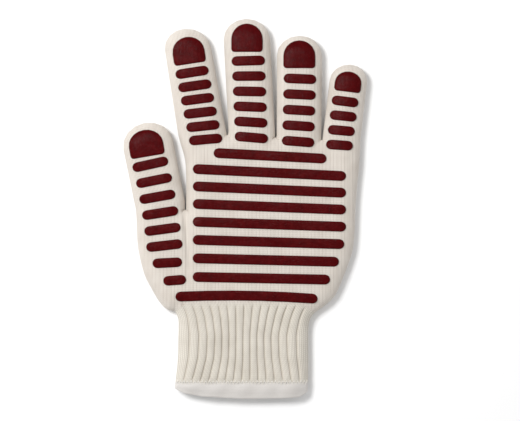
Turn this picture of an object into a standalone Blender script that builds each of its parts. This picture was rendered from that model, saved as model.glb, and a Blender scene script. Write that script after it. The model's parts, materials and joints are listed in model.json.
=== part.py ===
"""Heat resistant glove for outdoor cooking, lying on its back with the grip side up.

Metres, +Z up, fingers towards +Y, thumb towards -X, origin under the middle of the glove.
A knitted outer glove is split at its finger joints into short tubes, a cotton liner runs
through all of them, a ribbed cuff and a hem close the wrist, and silicone caps and bars
sit on the grip side. Each finger's joints are empties whose X axis is the fold line.
"""
import math
from dataclasses import dataclass

import bmesh
import bpy
from mathutils import Matrix, Vector

# Thickness of the empty glove as it lies, and how its layers stack up.
THICKNESS = 0.014
EDGE_ROUND = 0.005
KNIT_WALL = 0.0022
TOUCH_GAP = 0.0003
LINER_WALL = 0.0014
LINER_SIDE_GAP = 0.0008
LINER_ROUND = 0.003
LINER_WRIST_STEP = (0.0032, 0.0034)  # from the seam's thumb end to the liner's corner there
ROUND_STEPS = 3
FOLD_GAP = 0.0004
SEAM_GAP = 0.0005

# Silicone grips.
GRIP_THICKNESS = 0.001
BAR_WIDTH = 0.0069
BAR_END_STEPS = 6
CAP_CORNER = 0.0015
CAP_STRAIGHT_SHARE = 0.45
CAP_STEPS = 10

# The fold lines lie just above the grips, so nothing is pinched as a finger closes.
HINGE_HEIGHT = THICKNESS + TOUCH_GAP + GRIP_THICKNESS + 0.0002

# Fingertips are half ellipses: this is their depth over half the finger's width.
TIP_DEPTH_RATIO = 0.87
TIP_STEPS = 8
CROTCH_HALF_WIDTH = 0.0004

# How far each web lies below the nearer knuckle fold, keyed by the finger on its left.
CROTCH_DEPTHS = {"index": 0.0028, "middle": 0.0022, "ring": 0.0018}

# Places along the glove.
HEM_TOP_Y = -0.1232
WRIST_SEAM = [(-0.0500, -0.0728), (-0.0440, -0.0672), (0.0420, -0.0672), (0.0491, -0.0743)]

# Free edges of the palm, cuff and hem, each from the wrist outwards, in plan.
THENAR_EDGE = [WRIST_SEAM[0], (-0.0560, -0.0716), (-0.0616, -0.0656), (-0.0667, -0.0569),
               (-0.0719, -0.0465), (-0.0762, -0.028), (-0.0772, -0.010)]
HEEL_EDGE = [WRIST_SEAM[-1], (0.0556, -0.0698), (0.0620, -0.0642), (0.0664, -0.0568),
             (0.0742, -0.0370), (0.0774, -0.0224), (0.0787, 0.006), (0.0812, 0.032)]
INDEX_EDGE = [(-0.0420, 0.006), (-0.0420, 0.020), (-0.0427, 0.034), (-0.0455, 0.0444)]
CUFF_LEFT = [WRIST_SEAM[0], (-0.0476, -0.0785), (-0.0474, -0.0850), (-0.0476, -0.0920),
             (-0.0480, -0.1080), (-0.0496, HEM_TOP_Y)]
CUFF_RIGHT = [WRIST_SEAM[-1], (0.0462, -0.0785), (0.0450, -0.0840), (0.0448, -0.0915),
              (0.0449, -0.1080), (0.0447, HEM_TOP_Y)]
HEM_MOUTH = [(-0.0502, -0.1284), (-0.0440, -0.1310), (-0.0300, -0.1335), (-0.0030, -0.1350),
             (0.0250, -0.1347), (0.0385, -0.1340), (0.0444, -0.1310)]
EDGE_SMOOTH_STEPS = 3
STRAIGHT = 0.02

# Palm bars, counted from the fingers to the wrist.
PALM_BARS = 9
PALM_BAR_WIDTH = 0.0071
PALM_FIRST_Y = 0.0373
PALM_PITCH = 0.01184
PALM_PITCH_GROWTH = 0.00018
PALM_BAR_LEFT = -0.0373
PALM_BAR_RIGHT = 0.0716
HEEL_START = 4
HEEL_INSET = 0.00126
SHORT_BAR_ENDS = (-0.0225, 0.0577)
WRIST_BAR_LEFT = -0.0495
WRIST_BAR_BOW = 0.0016
PALM_TILTS = (-3.0, -0.9)

# The two lowest thumb bars are short: they sit where the thumb runs out into the palm.
BALL_BARS = [((-0.0499, -0.0508), 0.0165, 4.5), ((-0.0551, -0.0384), 0.0213, 3.0)]

CREAM = (0.83, 0.78, 0.72)
RIB_CREAM = (0.80, 0.76, 0.69)
HEM_WHITE = (0.86, 0.84, 0.82)
COTTON_WHITE = (0.88, 0.87, 0.84)
MAROON = (0.10, 0.006, 0.008)


@dataclass
class Finger:
    """One finger: its centreline starts on the knuckle's fold line and leans from +Y."""

    name: str
    knuckle: tuple
    lean: float
    fold_tilt: float
    length: float
    root_width: float
    tip_width: float
    first_bar: tuple
    last_bar: tuple
    bar_count: int
    bar_length: float
    bar_tilts: tuple
    bar_bow: float
    cap_base: tuple
    cap_size: tuple
    cap_tilt: float
    knuckle_after_bar: int
    joints: tuple

    def centre(self, distance):
        """Point on the centreline, this far past the knuckle."""
        angle = math.radians(self.lean)
        return Vector(self.knuckle) + distance * Vector((math.sin(angle), math.cos(angle)))

    def fold(self):
        """Direction of the fold lines, square to how the closed finger lies."""
        angle = math.radians(self.fold_tilt)
        return Vector((math.cos(angle), math.sin(angle)))

    def width(self, distance):
        share = distance / self.length
        return self.root_width + (self.tip_width - self.root_width) * share

    def side(self, distance, sign, inset=0.0):
        """Point on one side: sign -1 is the thumb's side, +1 the little finger's."""
        half = self.width(distance) / 2 - inset
        return self.centre(distance) + sign * half * self.fold()

    def bar_centre(self, number):
        """Centre of bar number 1, 2, ... counted from the palm."""
        share = (number - 1) / (self.bar_count - 1)
        point = Vector(self.first_bar).lerp(Vector(self.last_bar), share)
        point.x += self.bar_bow * 4 * share * (1 - share)
        return point

    def bar_tilt(self, number):
        share = (number - 1) / (self.bar_count - 1)
        return self.bar_tilts[0] + (self.bar_tilts[1] - self.bar_tilts[0]) * share


# joints: (joint name, number of the bar that it follows), from the palm to the tip.
FINGERS = [
    Finger("thumb", (-0.0604, 0.0025), -11.3, 11.3, 0.0595, 0.0355, 0.0362,
           (-0.0572, -0.0262), (-0.0672, 0.0313), 6, 0.0262, (6.5, 12.5), 0.0010,
           (-0.0688, 0.0368), (0.0247, 0.0192), 9.8, 3, (("tip_joint", 5),)),
    Finger("index", (-0.0306, 0.0537), -9.6, 4.8, 0.0753, 0.0342, 0.0328,
           (-0.0280, 0.0489), (-0.0376, 0.0964), 6, 0.0240, (5.2, 8.8), 0.0,
           (-0.0388, 0.1024), (0.0229, 0.0194), 8.7, 1,
           (("middle_joint", 3), ("tip_joint", 6))),
    Finger("middle", (0.0046, 0.0557), -3.0, 1.5, 0.0794, 0.0330, 0.0330,
           (0.0044, 0.0503), (0.0022, 0.1046), 6, 0.0240, (-4.8, 1.6), 0.0,
           (0.0013, 0.1108), (0.0224, 0.0204), 0.0, 1,
           (("middle_joint", 3), ("tip_joint", 6))),
    Finger("ring", (0.0382, 0.0528), 0.4, 0.0, 0.0702, 0.0318, 0.0322,
           (0.0375, 0.0474), (0.0388, 0.0918), 5, 0.0234, (-4.4, -2.2), 0.0,
           (0.0384, 0.0993), (0.0227, 0.0200), 0.0, 1,
           (("middle_joint", 3), ("tip_joint", 5))),
    Finger("little", (0.0685, 0.0500), 6.8, -3.4, 0.0528, 0.0270, 0.0266,
           (0.0668, 0.0449), (0.0708, 0.0758), 4, 0.0194, (-4.0, -7.2), 0.0,
           (0.0722, 0.0826), (0.0190, 0.0146), -7.2, 1, (("middle_joint", 3),)),
]

SEGMENT_NAMES = {1: ("base", "tip"), 2: ("base", "middle", "tip")}


def clear_scene():
    for item in list(bpy.data.objects):
        bpy.data.objects.remove(item, do_unlink=True)


def material(name, colour, roughness):
    made = bpy.data.materials.new(name)
    made.use_nodes = True
    shader = made.node_tree.nodes["Principled BSDF"]
    shader.inputs["Base Color"].default_value = (*colour, 1.0)
    shader.inputs["Roughness"].default_value = roughness
    shader.inputs["Metallic"].default_value = 0.0
    made.diffuse_color = (*colour, 1.0)
    return made


def smooth_path(points, steps):
    """Catmull-Rom curve through the points, with its ends kept."""
    knots = [Vector(point) for point in points]
    knots = [knots[0]] + knots + [knots[-1]]
    path = []
    for before, start, end, after in zip(knots, knots[1:], knots[2:], knots[3:]):
        for step in range(steps):
            t = step / steps
            path.append(0.5 * ((2 * start) + (end - before) * t
                               + (2 * before - 5 * start + 4 * end - after) * t ** 2
                               + (3 * start - before - 3 * end + after) * t ** 3))
    path.append(knots[-1])
    return path


def inset_path(path, distance):
    """Move each point of a path to its left by the distance."""
    moved = []
    for index, point in enumerate(path):
        along = path[min(index + 1, len(path) - 1)] - path[max(index - 1, 0)]
        along.normalize()
        moved.append(point + distance * Vector((-along.y, along.x)))
    return moved


def fingertip(finger, start, inset=0.0):
    """Outline of a finger from its right side at start, round the tip, to its left side."""
    half = finger.tip_width / 2
    depth = half * TIP_DEPTH_RATIO
    shoulder = finger.length - depth
    along = finger.centre(1.0) - finger.centre(0.0)
    arc = []
    for step in range(TIP_STEPS + 1):
        angle = math.pi * step / TIP_STEPS
        across = (half - inset) * math.cos(angle)
        beyond = (depth - inset) * math.sin(angle)
        arc.append(finger.centre(shoulder) + across * finger.fold() + beyond * along)
    return [finger.side(start, 1, inset)] + arc + [finger.side(start, -1, inset)]


def crotch(right_finger, left_finger, inset=0.0):
    """The web between two fingers, from the right finger's side to the left one's."""
    right = right_finger.side(0.0, -1)
    left = left_finger.side(0.0, 1)
    low = min(right.y, left.y) - CROTCH_DEPTHS[left_finger.name]
    middle = (right.x + left.x) / 2
    half = CROTCH_HALF_WIDTH + inset
    return [Vector((middle + half, low - inset)), Vector((middle - half, low - inset))]


def thumb_crotch(thumb, inset=0.0):
    """The web between the palm's index edge and the thumb."""
    right = Vector(INDEX_EDGE[0])
    left = thumb.side(0.0, 1)
    middle = (right.x + left.x) / 2
    half = CROTCH_HALF_WIDTH + inset
    low = -0.0008 - inset
    return [Vector((middle + half, low)), Vector((middle - half, low))]


def hand_outline(inset, finger_ends):
    """Outline of the hand, anticlockwise from the wrist's heel side.

    finger_ends gives the points from a finger's right side to its left side.
    """
    thumb, index, middle, ring, little = FINGERS
    heel = inset_path(smooth_path(HEEL_EDGE, EDGE_SMOOTH_STEPS), inset)
    outline = heel + finger_ends(little)
    outline += crotch(little, ring, inset) + finger_ends(ring)
    outline += crotch(ring, middle, inset) + finger_ends(middle)
    outline += crotch(middle, index, inset) + finger_ends(index)
    index_edge = smooth_path(INDEX_EDGE, EDGE_SMOOTH_STEPS)
    outline += inset_path(index_edge[::-1], inset)
    outline += thumb_crotch(thumb, inset) + finger_ends(thumb)
    thenar = smooth_path(THENAR_EDGE, EDGE_SMOOTH_STEPS)
    return outline + inset_path(thenar[::-1], inset)


def inset_outline(outline, open_edges, distance):
    """Draw a closed outline in by the distance, except across its open edges."""
    count = len(outline)
    moved = []
    for index, point in enumerate(outline):
        before = (point - outline[index - 1]).normalized()
        after = (outline[(index + 1) % count] - point).normalized()
        inward_before = Vector((-before.y, before.x))
        inward_after = Vector((-after.y, after.x))
        step_before = 0.0 if (index - 1) % count in open_edges else distance
        step_after = 0.0 if index in open_edges else distance
        turn = before.cross(after)
        if abs(turn) < STRAIGHT and step_before == step_after:
            moved.append(point + step_after * (inward_before + inward_after).normalized())
            continue
        start = point + step_before * inward_before
        reach = (point + step_after * inward_after - start).cross(after) / turn
        moved.append(start + reach * before)
    return moved


def tube_skin(shape, outline, open_edges, low, high, edge_round, inset, inward):
    """One skin of a flat tube, as rings of points from its bottom to its top."""
    levels = []
    for step in range(ROUND_STEPS + 1):
        angle = math.pi / 2 * step / ROUND_STEPS
        drawn_in = inset + edge_round * (1 - math.sin(angle))
        levels.append((drawn_in, edge_round * (1 - math.cos(angle))))
    heights = [(drawn_in, low + rise) for drawn_in, rise in levels]
    heights += [(drawn_in, high - rise) for drawn_in, rise in reversed(levels)]
    rings = []
    for drawn_in, height in heights:
        plan = inset_outline(outline, open_edges, drawn_in)
        rings.append([shape.verts.new((point.x, point.y, height)) for point in plan])
    faces = [list(reversed(rings[0])), rings[-1]]
    count = len(outline)
    for lower, upper in zip(rings, rings[1:]):
        for first in range(count):
            second = (first + 1) % count
            if first not in open_edges:
                faces.append([lower[first], lower[second], upper[second], upper[first]])
    for corners in faces:
        shape.faces.new(reversed(corners) if inward else corners)
    return rings


def knit_tube(name, outline, open_edges, low, high, edge_round, wall, surface):
    """A flat fabric tube: an outline drawn up from low to high, with rounded edges.

    open_edges holds the number of each outline edge that is left open. There the outer
    and inner skins are joined by a rim as wide as the wall.
    """
    shape = bmesh.new()
    outer = tube_skin(shape, outline, open_edges, low, high, edge_round, 0.0, False)
    rims = [edge for edge in shape.edges if edge.is_boundary]
    inner = tube_skin(shape, outline, open_edges, low + wall, high - wall,
                      edge_round - wall, wall, True)
    partner = {}
    for outer_ring, inner_ring in zip(outer, inner):
        partner.update(zip(outer_ring, inner_ring))
    for edge in rims:
        loop = edge.link_loops[0]
        start = loop.vert
        end = loop.link_loop_next.vert
        shape.faces.new((end, start, partner[start], partner[end]))
    bmesh.ops.delete(shape, geom=[point for point in shape.verts if not point.link_faces],
                     context="VERTS")
    mesh = bpy.data.meshes.new(name)
    shape.to_mesh(mesh)
    shape.free()
    mesh.materials.append(surface)
    return bpy.data.objects.new(name, mesh)


def grip(name, outline, centre, tilt, surface):
    """A flat silicone grip: a closed outline round its own centre, laid on the knit."""
    curve = bpy.data.curves.new(name, "CURVE")
    curve.dimensions = "2D"
    curve.fill_mode = "BOTH"
    curve.extrude = GRIP_THICKNESS / 2
    spline = curve.splines.new("POLY")
    spline.points.add(len(outline) - 1)
    for point, (x, y) in zip(spline.points, outline):
        point.co = (x, y, 0.0, 1.0)
    spline.use_cyclic_u = True
    curve.materials.append(surface)
    made = bpy.data.objects.new(name, curve)
    height = THICKNESS + TOUCH_GAP + GRIP_THICKNESS / 2
    made.matrix_basis = (Matrix.Translation((centre.x, centre.y, height))
                         @ Matrix.Rotation(math.radians(tilt), 4, "Z"))
    return made


def bar_outline(length, width, bow=0.0):
    """Bar with round ends; bow lifts its middle towards the fingers."""
    radius = width / 2
    reach = length / 2 - radius
    outline = []
    for side in (1, -1):
        for step in range(BAR_END_STEPS + 1):
            angle = math.pi * (step / BAR_END_STEPS - 0.5)
            x = side * (reach + radius * math.cos(angle))
            outline.append((x, side * radius * math.sin(angle)))
        if bow:
            outline += [(side * reach * share, side * radius) for share in (0.6, 0.2, -0.2, -0.6)]
    return [(x, y + bow * (1 - (x / (length / 2)) ** 2)) for x, y in outline]


def cap_outline(width, length):
    """Fingertip cap: a straight base with small corners, straight sides and a round top."""
    half = width / 2
    shoulder = length * CAP_STRAIGHT_SHARE
    outline = [(-half + CAP_CORNER, 0.0), (half - CAP_CORNER, 0.0), (half, CAP_CORNER)]
    for step in range(CAP_STEPS + 1):
        angle = math.pi * step / CAP_STEPS
        outline.append((half * math.cos(angle), shoulder + (length - shoulder) * math.sin(angle)))
    return outline + [(-half, CAP_CORNER)]


class Assembly:
    """Collects the nodes and the joint empties, and parents each to what carries it."""

    def __init__(self, name):
        self.collection = bpy.data.collections.new(name)
        bpy.context.scene.collection.children.link(self.collection)
        self.places = {}

    def hinge(self, name, place, direction, parent):
        """An empty whose X axis is the fold line."""
        empty = bpy.data.objects.new(name, None)
        empty.empty_display_size = 0.01
        turn = math.atan2(direction.y, direction.x)
        empty.matrix_basis = (Matrix.Translation((place.x, place.y, HINGE_HEIGHT))
                              @ Matrix.Rotation(turn, 4, "Z"))
        self.places[name] = empty.matrix_basis.copy()
        self.add(empty, parent)
        return empty

    def add(self, item, parent=None):
        self.collection.objects.link(item)
        if parent is not None:
            item.parent = parent
            item.matrix_parent_inverse = self.places[parent.name].inverted()


def build_finger(glove, finger, knit, silicone):
    """The tubes, bars and cap of one finger, chained by its joints."""
    names = [finger.name + "_knuckle"]
    folds = [finger.knuckle_after_bar]
    for joint, bar in finger.joints:
        names.append(finger.name + "_" + joint)
        folds.append(bar)
    distances = [0.0] + [fold_distance(finger, bar) for bar in folds[1:]]
    carrier = None
    for bar in range(1, folds[0] + 1):
        glove.add(finger_bar(finger, bar, silicone))
    for level, name in enumerate(names):
        carrier = glove.hinge(name, finger.centre(distances[level]), finger.fold(), carrier)
        start = distances[level] + FOLD_GAP / 2
        last = level == len(names) - 1
        if last:
            outline = fingertip(finger, start)
            open_edges = {len(outline) - 1}
            stop = finger.bar_count
        else:
            end = distances[level + 1] - FOLD_GAP / 2
            outline = [finger.side(start, -1), finger.side(start, 1),
                       finger.side(end, 1), finger.side(end, -1)]
            open_edges = {0, 2}
            stop = folds[level + 1]
        part = SEGMENT_NAMES[len(finger.joints)][level]
        tube = knit_tube(f"{finger.name}_{part}", outline, open_edges, 0.0, THICKNESS,
                         EDGE_ROUND, KNIT_WALL, knit)
        glove.add(tube, carrier)
        for bar in range(folds[level] + 1, stop + 1):
            glove.add(finger_bar(finger, bar, silicone), carrier)
    outline = cap_outline(*finger.cap_size)
    cap = grip(finger.name + "_cap", outline, Vector(finger.cap_base), finger.cap_tilt, silicone)
    glove.add(cap, carrier)


def fold_distance(finger, bar):
    """How far past the knuckle the fold after this bar lies: midway to the next grip."""
    here = finger.bar_centre(bar)
    if bar < finger.bar_count:
        there = finger.bar_centre(bar + 1)
    else:
        there = Vector(finger.cap_base) + Vector((0.0, BAR_WIDTH / 2))
    along = finger.centre(1.0) - finger.centre(0.0)
    return ((here + there) / 2 - Vector(finger.knuckle)).dot(along)


def finger_bar(finger, number, silicone):
    offset = len(BALL_BARS) if finger.name == "thumb" else 0
    outline = bar_outline(finger.bar_length, BAR_WIDTH)
    return grip(f"{finger.name}_bar_{number + offset}", outline, finger.bar_centre(number),
                finger.bar_tilt(number), silicone)


def build_palm(glove, knit):
    """The palm and back of the hand, open at the wrist and towards each finger."""
    def stub(finger):
        return [finger.side(-FOLD_GAP / 2, 1), finger.side(-FOLD_GAP / 2, -1)]

    outline = hand_outline(0.0, stub)
    open_edges = {len(outline) - 1, len(outline), len(outline) + 1}
    outline += [Vector(point) for point in WRIST_SEAM[1:-1]]
    for finger in FINGERS:
        open_edges.add(outline.index(stub(finger)[0]))
    glove.add(knit_tube("palm", outline, open_edges, 0.0, THICKNESS, EDGE_ROUND, KNIT_WALL,
                        knit))


def build_palm_bars(glove, silicone):
    y = PALM_FIRST_Y
    for number in range(PALM_BARS):
        left, right = PALM_BAR_LEFT, PALM_BAR_RIGHT
        right -= HEEL_INSET * max(0, number - HEEL_START) ** 2
        bow = 0.0
        if number == 0:
            left, right = SHORT_BAR_ENDS
        if number == PALM_BARS - 1:
            left, bow = WRIST_BAR_LEFT, WRIST_BAR_BOW
        share = number / (PALM_BARS - 1)
        tilt = PALM_TILTS[0] + (PALM_TILTS[1] - PALM_TILTS[0]) * share
        outline = bar_outline(right - left, PALM_BAR_WIDTH, bow)
        centre = Vector(((left + right) / 2, y - bow / 2))
        glove.add(grip(f"palm_bar_{number + 1}", outline, centre, tilt, silicone))
        y -= PALM_PITCH + PALM_PITCH_GROWTH * number
    for number, (centre, length, tilt) in enumerate(BALL_BARS):
        outline = bar_outline(length, BAR_WIDTH)
        glove.add(grip(f"thumb_bar_{number + 1}", outline, Vector(centre), tilt, silicone))


def build_cuff(glove, rib):
    left = smooth_path(CUFF_LEFT, EDGE_SMOOTH_STEPS)
    right = smooth_path(CUFF_RIGHT, EDGE_SMOOTH_STEPS)
    for path in (left, right):
        path[0].y -= SEAM_GAP
        path[-1].y += TOUCH_GAP / 2
    outline = left + right[::-1]
    open_edges = {len(left) - 1, len(outline) - 1, len(outline), len(outline) + 1}
    outline += [Vector((x, y - SEAM_GAP)) for x, y in WRIST_SEAM[-2:0:-1]]
    glove.add(knit_tube("cuff", outline, open_edges, 0.0, THICKNESS, EDGE_ROUND, KNIT_WALL,
                        rib))


def build_hem(glove, tape):
    top = HEM_TOP_Y - TOUCH_GAP / 2
    mouth = [Vector(point) for point in HEM_MOUTH]
    outline = [Vector((CUFF_LEFT[-1][0], top))] + mouth + [Vector((CUFF_RIGHT[-1][0], top))]
    open_edges = set(range(1, len(mouth))) | {len(outline) - 1}
    glove.add(knit_tube("hem", outline, open_edges, 0.0, THICKNESS, EDGE_ROUND, KNIT_WALL,
                        tape))


def build_liner(glove, cotton):
    """The cotton glove inside: one piece from its mouth in the hem to all five tips."""
    inset = KNIT_WALL + LINER_SIDE_GAP
    rise = KNIT_WALL + TOUCH_GAP

    def whole_finger(finger):
        return fingertip(finger, 0.0, inset)

    hand = hand_outline(inset, whole_finger)
    left = inset_path(smooth_path(CUFF_LEFT, EDGE_SMOOTH_STEPS), inset)
    right = inset_path(smooth_path(CUFF_RIGHT, EDGE_SMOOTH_STEPS)[::-1], inset)
    mouth = [Vector((point[0], point[1] + TOUCH_GAP)) for point in HEM_MOUTH[1:-1]]
    corner = Vector(WRIST_SEAM[0]) + Vector(LINER_WRIST_STEP)
    outline = [corner] + left[1:] + mouth + right[:-1] + hand[:-1]
    open_edges = set(range(len(left), len(left) + len(mouth) - 1))
    glove.add(knit_tube("cotton_liner", outline, open_edges, rise, THICKNESS - rise,
                        LINER_ROUND, LINER_WALL, cotton))


def build():
    clear_scene()
    knit = material("Knitted aramid yarn", CREAM, 0.9)
    rib = material("Ribbed cuff knit", RIB_CREAM, 0.9)
    tape = material("Hem yarn", HEM_WHITE, 0.85)
    cotton = material("Brushed cotton", COTTON_WHITE, 0.95)
    silicone = material("Maroon silicone", MAROON, 0.3)
    glove = Assembly("heat_resistant_glove")
    build_palm(glove, knit)
    build_cuff(glove, rib)
    build_hem(glove, tape)
    build_liner(glove, cotton)
    build_palm_bars(glove, silicone)
    for finger in FINGERS:
        build_finger(glove, finger, knit, silicone)


build()
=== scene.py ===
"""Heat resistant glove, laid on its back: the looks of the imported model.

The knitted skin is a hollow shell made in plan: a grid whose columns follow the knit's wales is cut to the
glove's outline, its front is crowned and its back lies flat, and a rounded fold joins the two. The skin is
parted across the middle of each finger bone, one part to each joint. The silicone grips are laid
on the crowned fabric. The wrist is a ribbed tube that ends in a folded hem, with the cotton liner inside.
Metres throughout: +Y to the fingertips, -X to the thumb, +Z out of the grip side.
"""

import json
import math

import bmesh
import bpy
import numpy as np
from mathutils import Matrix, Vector

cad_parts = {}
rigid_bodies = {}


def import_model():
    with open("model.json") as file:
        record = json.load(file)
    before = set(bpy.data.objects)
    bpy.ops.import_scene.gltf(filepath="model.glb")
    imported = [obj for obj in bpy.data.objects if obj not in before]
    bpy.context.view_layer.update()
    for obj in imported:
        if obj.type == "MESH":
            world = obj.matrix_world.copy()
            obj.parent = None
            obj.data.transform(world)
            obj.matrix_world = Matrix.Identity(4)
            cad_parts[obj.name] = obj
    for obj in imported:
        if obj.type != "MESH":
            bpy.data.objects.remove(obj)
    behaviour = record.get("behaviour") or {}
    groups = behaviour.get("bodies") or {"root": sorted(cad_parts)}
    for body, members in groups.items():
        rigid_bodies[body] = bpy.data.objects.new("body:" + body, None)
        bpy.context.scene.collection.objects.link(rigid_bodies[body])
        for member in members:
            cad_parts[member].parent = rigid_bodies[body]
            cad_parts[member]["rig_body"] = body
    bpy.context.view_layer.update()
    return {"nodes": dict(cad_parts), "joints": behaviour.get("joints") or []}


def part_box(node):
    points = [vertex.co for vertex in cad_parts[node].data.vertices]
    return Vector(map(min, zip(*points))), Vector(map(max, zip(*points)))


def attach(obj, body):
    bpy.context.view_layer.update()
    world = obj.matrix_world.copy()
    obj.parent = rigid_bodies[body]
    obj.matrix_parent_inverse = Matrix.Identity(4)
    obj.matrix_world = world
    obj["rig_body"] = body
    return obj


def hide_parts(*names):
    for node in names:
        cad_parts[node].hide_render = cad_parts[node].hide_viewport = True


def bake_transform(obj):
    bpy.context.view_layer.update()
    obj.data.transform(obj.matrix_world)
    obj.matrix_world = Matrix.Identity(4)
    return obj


# Knit
WALE = 0.00194  # one upright line of stitches
COURSE = 0.0015  # one row of stitches
WALE_RELIEF = 0.00024
COLUMNS_PER_WALE = 4
ROW_STEP = 0.0018
WALL = 0.0012
RELIEF_FADE = 0.004  # from the side over which the wales rise to their full height

# Section of the glove as it lies
EDGE_HEIGHT = 0.0052
CROWN_HEIGHT = 0.0136
SIDE_ROUND = 0.0133
BACK_ROUND = 0.0085
BACK_CLEARANCE = 0.0001
FOLD_DEPTH = 0.0022
FOLD_STEPS = 4
UNEVENNESS = 0.00028
CAD_ROUND = 0.005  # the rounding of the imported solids, whose flat tops are that much inside the outline

# Palm: its wrist seam, its top, and the fold at the thumb
WRIST_LINE = [(-0.0500, -0.0728), (-0.0466, -0.0700), (-0.0430, -0.0682), (-0.0380, -0.0672),
              (0.0350, -0.0672), (0.0405, -0.0682), (0.0450, -0.0704), (0.0491, -0.0743)]
WRIST_BLEND = 0.014  # height over which the rows turn from the wrist seam's curve to level
PALM_TOP_Y = 0.0535
BALL_TOP_Y = 0.004
THUMB_CROTCH_X = -0.0428
THUMB_CROTCH_Y = (-0.02, 0.01)  # the crotch lies between these heights
INDEX_SIDE_REACH = 0.0068  # how far the palm's top corner leans out over the fold at the thumb
INDEX_SIDE_START = 0.62  # where it starts, as a share of the way from the crotch to the top
THUMB_FOLD = [(-0.0430, 0.004), (-0.0424, -0.010), (-0.0408, -0.026), (-0.0400, -0.040), (-0.0418, -0.056)]
THUMB_FOLD_DEPTH = 0.0021
THUMB_FOLD_WIDTH = 0.0019
THUMB_FOLD_END_Y = -0.062
THUMB_FOLD_FADE = 0.05

# Cuff and hem
CUFF_LEFT = [(-0.0500, -0.0728), (-0.0476, -0.0785), (-0.0474, -0.0850), (-0.0476, -0.0920),
             (-0.0480, -0.1080), (-0.0496, -0.1232)]
CUFF_RIGHT = [(0.0491, -0.0743), (0.0462, -0.0785), (0.0450, -0.0840), (0.0448, -0.0915),
              (0.0449, -0.1080), (0.0447, -0.1232)]
HEM_TOP_Y = -0.1232
HEM_MOUTH = [(-0.0502, -0.1284), (-0.0440, -0.1310), (-0.0300, -0.1335), (-0.0030, -0.1350),
             (0.0250, -0.1347), (0.0385, -0.1340), (0.0444, -0.1310)]
SIDE_FADE = 0.003  # from the side over which ribs, hem and stitches reach their full height
RIBS = 16
# Heights, and how evenly the ribs are spread there: 1 is even, and less leaves the outer ribs wider
RIB_SPREAD = ([-0.1232, -0.1050, -0.0900, -0.0780, -0.0672], [1.0, 0.87, 0.85, 0.93, 1.0])
RIB_HEIGHT = 0.0017
RIB_FABRIC = 0.0055  # three wales of fabric to each rib
COLUMNS_PER_RIB = 10
TURN_COLUMNS = 8  # closer columns where a rib turns round the side
CUFF_ROWS = 46
CUFF_END_SHARE = 0.05  # share of the cuff's length over which the ribs flatten at each end
CORNER_SHARE = 0.3  # share of the cuff's length over which the wrist seam's curve straightens
HEM_SEAM_DIP = 0.0009
HEM_SWELL = 0.0007
HEM_CLOSE = 0.0012  # how far the front comes down towards the mouth
HEM_WAVE = 0.00022
HEM_ROLL = 0.0013
HEM_ROWS = 9
HEM_ROLL_STEPS = 6
STITCH_SPACING = 0.0013
STITCH_LENGTH = 0.0034
STITCH_RADIUS = 0.00034
STITCH_LEAN = 0.42
STITCH_HUMP = 0.0007
STITCH_EDGE_GAP = 0.0012
STITCH_BACK_LIFT = 0.00026

# Liner
LINER_INSET = 0.0030
LINER_FRONT_GAP = 0.0028
LINER_BACK_GAP = 0.0026
LINER_WALL = 0.0008
LINER_MOUTH_INSET = 0.0035
LINER_EDGE = 0.0012
LINER_HOLLOW = 0.0006  # least space between the liner's front and back
LINER_STRIDE = (2, 5)  # rows and columns of the knit's grid to each of the liner's
LINER_WRIST_ROWS = 23

# Grips
GRIP_THICKNESS = 0.0011
GRIP_EDGE = 0.0009
GRIP_SINK = 0.0005
GRIP_DOME = (0.12, 0.0034)  # share of the thickness by which the middle stands higher, and from how far in
GRIP_GRID = (0.0006, 0.0007)
GRIP_NEAR_JOINT = 0.0035  # a grip this near to a joint's span is handed to that joint's section, not to its own body

# How far the fingers' grids run past the caps, and how far from a joint each bend's span reaches
BEYOND_CAP = 0.012
KNUCKLE_BEND = 0.009
FINGER_BEND = 0.008

# Camera
CAMERA_PLACE = (0.0105, -0.0014, 1.607)
VIEW_WIDTH = 0.3695

FINGERS = {
    "thumb": ("knuckle", "tip_joint"),
    "index": ("knuckle", "middle_joint", "tip_joint"),
    "middle": ("knuckle", "middle_joint", "tip_joint"),
    "ring": ("knuckle", "middle_joint", "tip_joint"),
    "little": ("knuckle", "middle_joint"),
}


# ---------------------------------------------------------------- plan outline

def flat_top_edges(obj, side_slope):
    """The edges round a node's flat top whose other face slopes between the two z values of side_slope:
    their start and end points, and the direction in plan towards the flat top."""
    mesh = bmesh.new()
    mesh.from_mesh(obj.data)
    bmesh.ops.remove_doubles(mesh, verts=mesh.verts[:], dist=1e-6)
    top = max(v.co.z for v in mesh.verts)
    found = []
    for edge in mesh.edges:
        low, high = sorted(edge.link_faces, key=lambda face: face.normal.z)
        is_top = high.normal.z > 0.999 and min(v.co.z for v in edge.verts) > top - 1e-5
        if is_top and side_slope[0] <= low.normal.z < side_slope[1]:
            start, end = (np.array(v.co[:2]) for v in edge.verts)
            inward = np.array(high.calc_center_median()[:2]) - start
            along = (end - start) / np.linalg.norm(end - start)
            inward -= along * (inward @ along)
            found.append((start, end, inward / np.linalg.norm(inward)))
    mesh.free()
    return found


def side_edges(nodes):
    """The flat-top edges of soft nodes along the glove's own sides, without those at their seams."""
    return [edge for node in nodes for edge in flat_top_edges(frame["nodes"][node], (0.05, 0.99))]


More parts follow.
